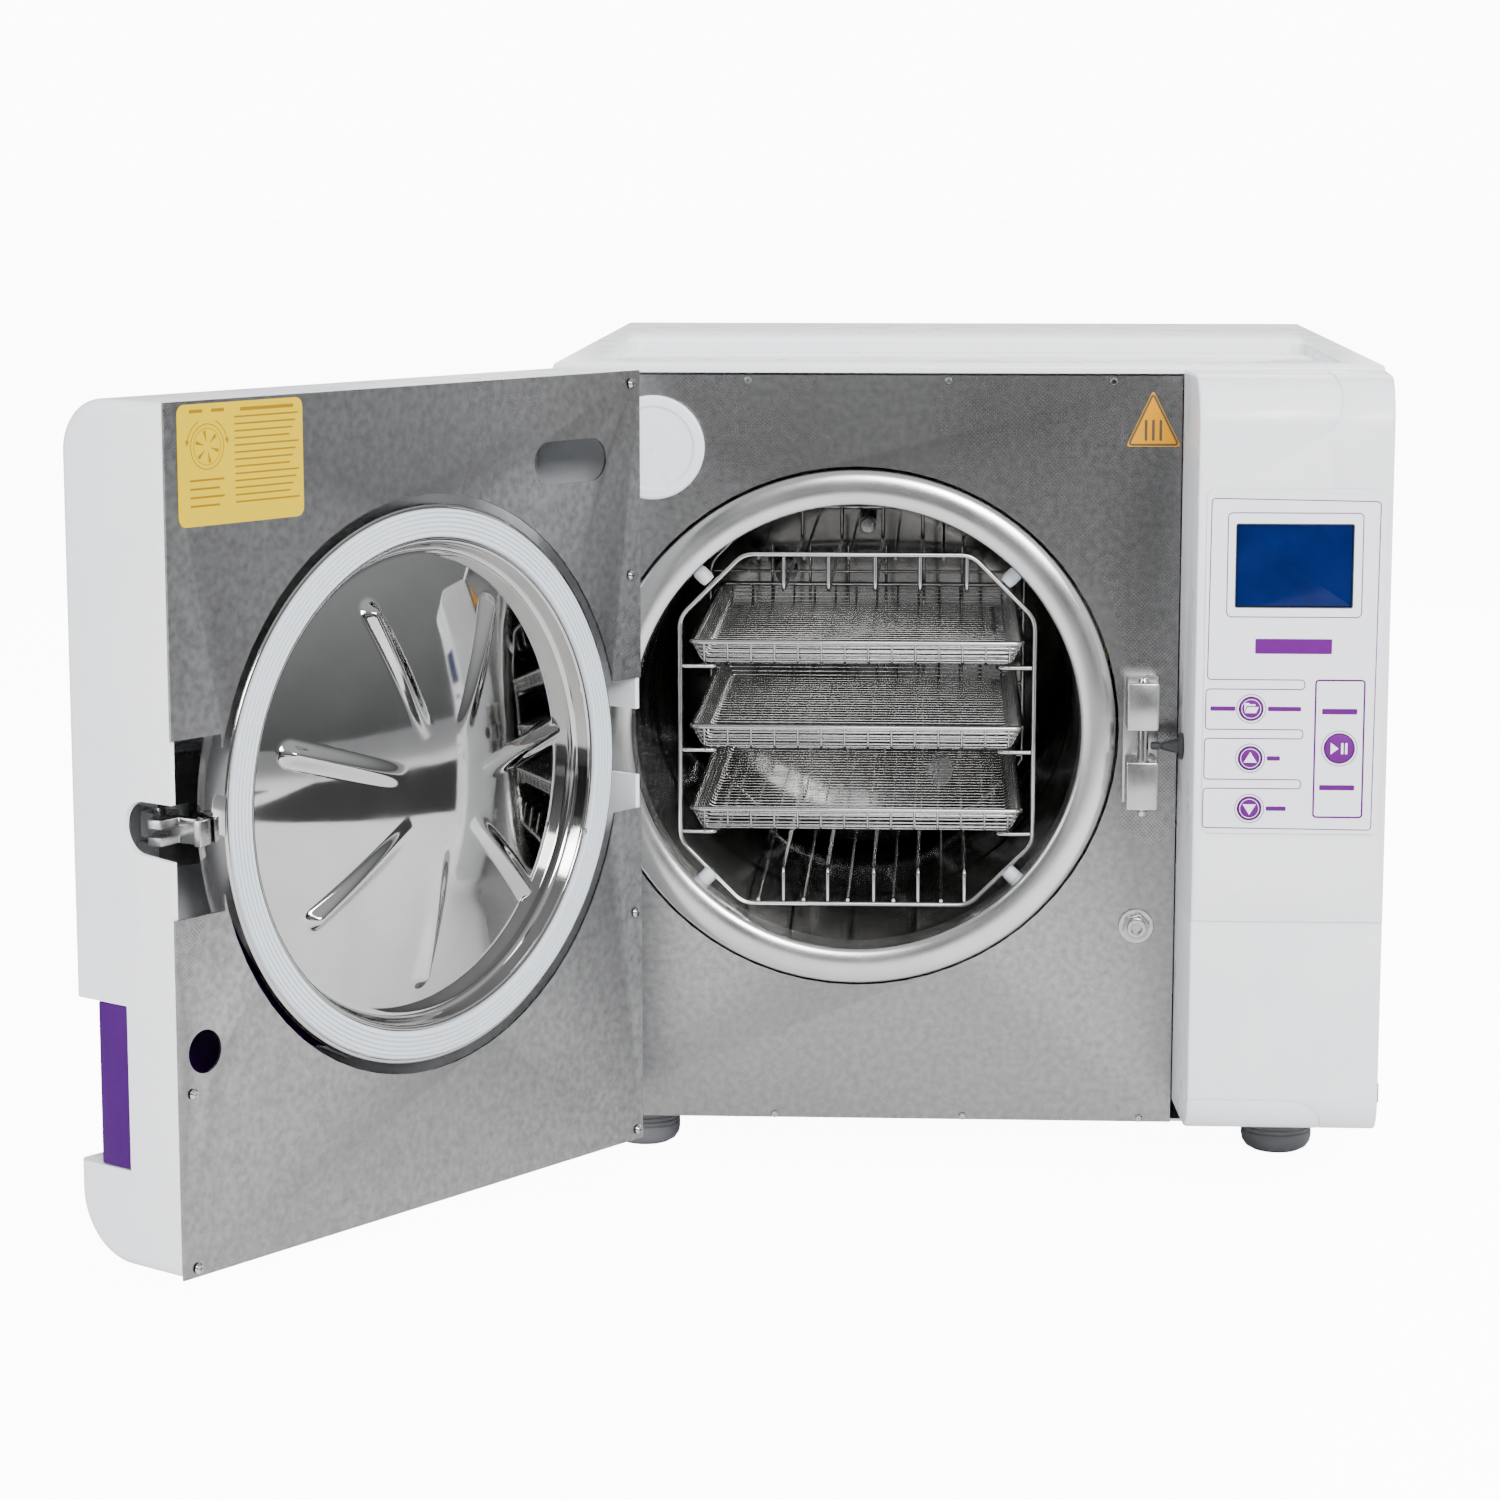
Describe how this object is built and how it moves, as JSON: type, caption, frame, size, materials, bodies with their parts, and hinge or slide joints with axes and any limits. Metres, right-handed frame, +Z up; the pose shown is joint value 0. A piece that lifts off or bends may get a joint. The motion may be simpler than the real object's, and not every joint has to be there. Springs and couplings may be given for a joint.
{
  "type": "benchtop autoclave",
  "caption": "Benchtop steam steriliser with a side-hung door, sealing disc, round chamber, slide-out wire rack with trays and a control housing.",
  "frame": {"origin": "middle of the footprint with the door open, on the bench", "axes": "+Z up; +Y from the door towards the cabinet's back; +X to the right seen from the front"},
  "size_m": [0.6573, 0.847, 0.45],
  "materials": {
    "white_plastic": "satin moulded",
    "white_sheet": "fine powder coat",
    "brushed_steel": "embossed and brushed",
    "polished_steel": "mirror polished",
    "zinc_steel": "zinc plated",
    "wire_steel": "electropolished wire",
    "brass": "machined",
    "aluminium": "cast",
    "copper_fins": "copper coloured fins",
    "silicone": "matt silicone",
    "dark_rubber": "matt",
    "purple_plastic": "satin",
    "key_purple": "printed",
    "black_plastic": "satin",
    "display_blue": "glossy display",
    "circuit_board": "solder mask",
    "insulation": "fleece",
    "tank_plastic": "translucent"
  },
  "bodies": {
    "cabinet": {"base_plate": "zinc_steel", "front_panel": "brushed_steel", "left_side_panel": "white_sheet", "right_side_panel": "white_sheet", "rear_panel": "zinc_steel", "top_cover": "white_plastic", "foot_front_left": "dark_rubber", "foot_front_right": "dark_rubber", "foot_rear_left": "dark_rubber", "foot_rear_right": "dark_rubber", "chamber_flange": "polished_steel", "chamber_vessel": "polished_steel", "insulation_jacket": "insulation", "chamber_cradle": "zinc_steel", "control_housing": "white_plastic", "lower_fascia": "white_plastic", "membrane_panel": "white_plastic", "display_module": "display_blue", "control_board": "circuit_board", "power_supply": "aluminium", "steam_generator": "polished_steel", "vacuum_pump": "aluminium", "water_pump": "black_plastic", "valve_block": "brass", "clean_water_tank": "tank_plastic", "waste_water_tank": "tank_plastic", "condenser": "copper_fins", "fan_frame": "black_plastic", "safety_valve": "brass", "mains_inlet": "black_plastic", "bacterial_filter": "white_plastic", "drain_fitting": "zinc_steel", "latch_receiver": "brushed_steel", "receiver_pin": "polished_steel", "lock_solenoid": "zinc_steel", "hinge_bracket": "zinc_steel"},
    "door": {"door_cover": "white_plastic", "upper_door_plate": "brushed_steel", "lower_door_plate": "brushed_steel", "door_beam": "brushed_steel", "hinge_pin": "polished_steel", "handle_insert": "purple_plastic", "adjusting_spindle": "polished_steel"},
    "disc": {"sealing_disc": "polished_steel", "door_gasket": "silicone"},
    "hook": {"latch_hook": "zinc_steel"},
    "lock_pin": {"lock_plunger": "black_plastic"},
    "rack": {"rack_front_frame": "wire_steel", "rack_rear_frame": "wire_steel", "rack_left_side": "wire_steel", "rack_right_side": "wire_steel"},
    "lower_tray": {"lower_tray": "wire_steel"},
    "middle_tray": {"middle_tray": "wire_steel"},
    "upper_tray": {"upper_tray": "wire_steel"},
    "start_key": {"start_key": "key_purple"},
    "select_key": {"select_key": "key_purple"},
    "up_key": {"up_key": "key_purple"},
    "down_key": {"down_key": "key_purple"},
    "switch": {"power_switch": "black_plastic"},
    "fan": {"fan_rotor": "black_plastic"}
  },
  "joints": [
    {"name": "door_hinge", "type": "hinge", "parent": "cabinet", "child": "door", "pos_m": [-0.11365, -0.13012, 0.25], "axis": [0, 0, 1], "range_deg": [0, 125.5]},
    {"name": "disc_turn", "type": "hinge", "parent": "door", "child": "disc", "pos_m": [-0.17904, -0.27363, 0.248], "axis": [0.8141, -0.5807, 0], "range_deg": [-90, 90]},
    {"name": "hook_turn", "type": "hinge", "parent": "door", "child": "hook", "pos_m": [-0.28976, -0.3703, 0.2435], "axis": [0, 0, -1], "range_deg": [0, 10], "stiffness_Nm_per_rad": 0.3},
    {"name": "lock_pin_slide", "type": "slide", "parent": "cabinet", "child": "lock_pin", "axis": [1, 0, 0], "range_m": [0, 0.006], "stiffness_N_per_m": 400},
    {"name": "rack_slide", "type": "slide", "parent": "cabinet", "child": "rack", "axis": [0, 1, 0], "range_m": [-0.28, 0]},
    {"name": "lower_tray_slide", "type": "slide", "parent": "rack", "child": "lower_tray", "axis": [0, 1, 0], "range_m": [-0.24, 0]},
    {"name": "middle_tray_slide", "type": "slide", "parent": "rack", "child": "middle_tray", "axis": [0, 1, 0], "range_m": [-0.24, 0]},
    {"name": "upper_tray_slide", "type": "slide", "parent": "rack", "child": "upper_tray", "axis": [0, 1, 0], "range_m": [-0.24, 0]},
    {"name": "start_key_press", "type": "slide", "parent": "cabinet", "child": "start_key", "axis": [0, 1, 0], "range_m": [0, 0.0006], "stiffness_N_per_m": 400},
    {"name": "select_key_press", "type": "slide", "parent": "cabinet", "child": "select_key", "axis": [0, 1, 0], "range_m": [0, 0.0006], "stiffness_N_per_m": 400},
    {"name": "up_key_press", "type": "slide", "parent": "cabinet", "child": "up_key", "axis": [0, 1, 0], "range_m": [0, 0.0006], "stiffness_N_per_m": 400},
    {"name": "down_key_press", "type": "slide", "parent": "cabinet", "child": "down_key", "axis": [0, 1, 0], "range_m": [0, 0.0006], "stiffness_N_per_m": 400},
    {"name": "switch_rock", "type": "hinge", "parent": "cabinet", "child": "switch", "pos_m": [0.32265, -0.12102, 0.0565], "axis": [0, 0, -1], "range_deg": [0, 10]},
    {"name": "fan_spin", "type": "hinge", "parent": "cabinet", "child": "fan", "pos_m": [0.25615, 0.40397, 0.355], "axis": [0, 1, 0], "continuous": true}
  ]
}
